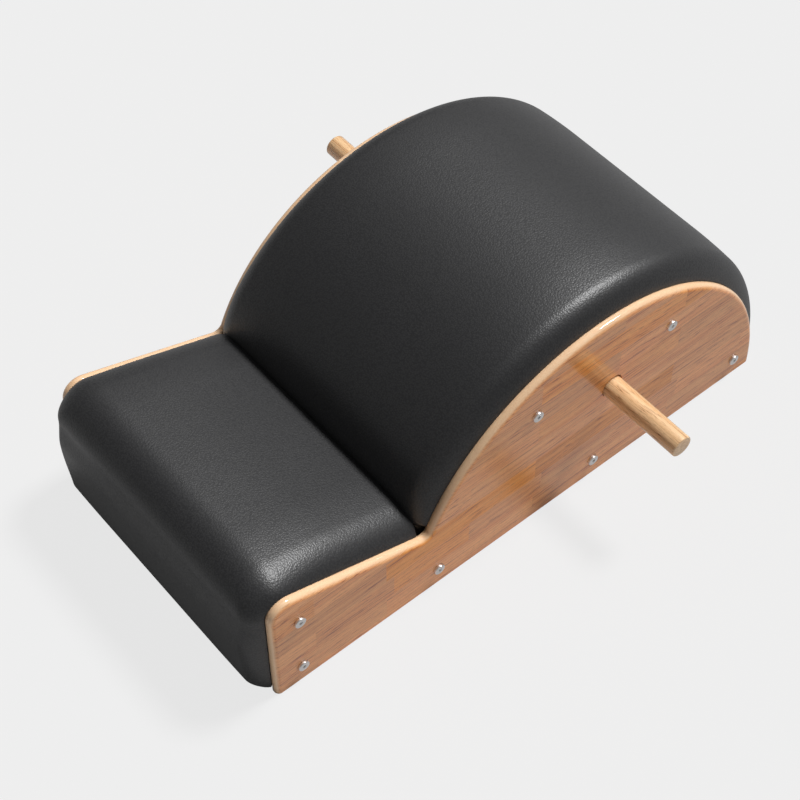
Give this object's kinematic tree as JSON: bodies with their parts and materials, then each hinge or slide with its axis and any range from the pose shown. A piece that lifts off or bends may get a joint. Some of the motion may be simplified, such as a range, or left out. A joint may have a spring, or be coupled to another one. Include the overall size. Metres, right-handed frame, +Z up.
{
  "type": "pilates spine corrector",
  "caption": "Spine corrector for pilates: an upholstered sloping step that runs into a half-round barrel, between bolted wooden side panels, with a loose handle rod through both.",
  "frame": {"origin": "the middle of the footprint's box, on the floor", "axes": "+X from the step end towards the barrel end, +Y to the left, along the handle rod, +Z up"},
  "size_m": [0.862, 0.664, 0.3264],
  "materials": {
    "panel_wood": "edge-glued hardwood, clear satin lacquer",
    "rod_wood": "turned hardwood, clear satin lacquer",
    "rail_wood": "planed, unlacquered",
    "plywood": "sanded birch plywood",
    "foam": "dense upholstery foam",
    "leathercloth": "charcoal leathercloth with a fine grain",
    "bolt_plating": "satin nickel plating",
    "insert_zinc": "zinc-plated"
  },
  "bodies": {
    "frame": {"side_panel_right": "panel_wood", "side_panel_left": "panel_wood", "rail_front_lower": "rail_wood", "rail_nose": "rail_wood", "rail_front_foot": "rail_wood", "rail_middle": "rail_wood", "rail_rear_foot": "rail_wood", "rail_front_arch": "rail_wood", "rail_rear_arch": "rail_wood", "step_cleat": "rail_wood", "barrel_board": "plywood", "step_board": "plywood", "front_board": "plywood", "barrel_foam": "foam", "step_foam": "foam", "barrel_cover": "leathercloth", "step_cover": "leathercloth", "bolt_front_lower_right": "bolt_plating", "bolt_nose_right": "bolt_plating", "bolt_front_foot_right": "bolt_plating", "bolt_middle_right": "bolt_plating", "bolt_rear_foot_right": "bolt_plating", "bolt_front_arch_right": "bolt_plating", "bolt_rear_arch_right": "bolt_plating", "bolt_front_lower_left": "bolt_plating", "bolt_nose_left": "bolt_plating", "bolt_front_foot_left": "bolt_plating", "bolt_middle_left": "bolt_plating", "bolt_rear_foot_left": "bolt_plating", "bolt_front_arch_left": "bolt_plating", "bolt_rear_arch_left": "bolt_plating", "insert_front_lower_right": "insert_zinc", "insert_nose_right": "insert_zinc", "insert_front_foot_right": "insert_zinc", "insert_middle_right": "insert_zinc", "insert_rear_foot_right": "insert_zinc", "insert_front_arch_right": "insert_zinc", "insert_rear_arch_right": "insert_zinc", "insert_front_lower_left": "insert_zinc", "insert_nose_left": "insert_zinc", "insert_front_foot_left": "insert_zinc", "insert_middle_left": "insert_zinc", "insert_rear_foot_left": "insert_zinc", "insert_front_arch_left": "insert_zinc", "insert_rear_arch_left": "insert_zinc"},
    "handle": {"handle_rod": "rod_wood"}
  },
  "joints": [
    {"name": "handle_slide", "type": "slide", "parent": "frame", "child": "handle", "axis": [0, 1, 0], "range_m": [-0.12, 0.12]}
  ]
}
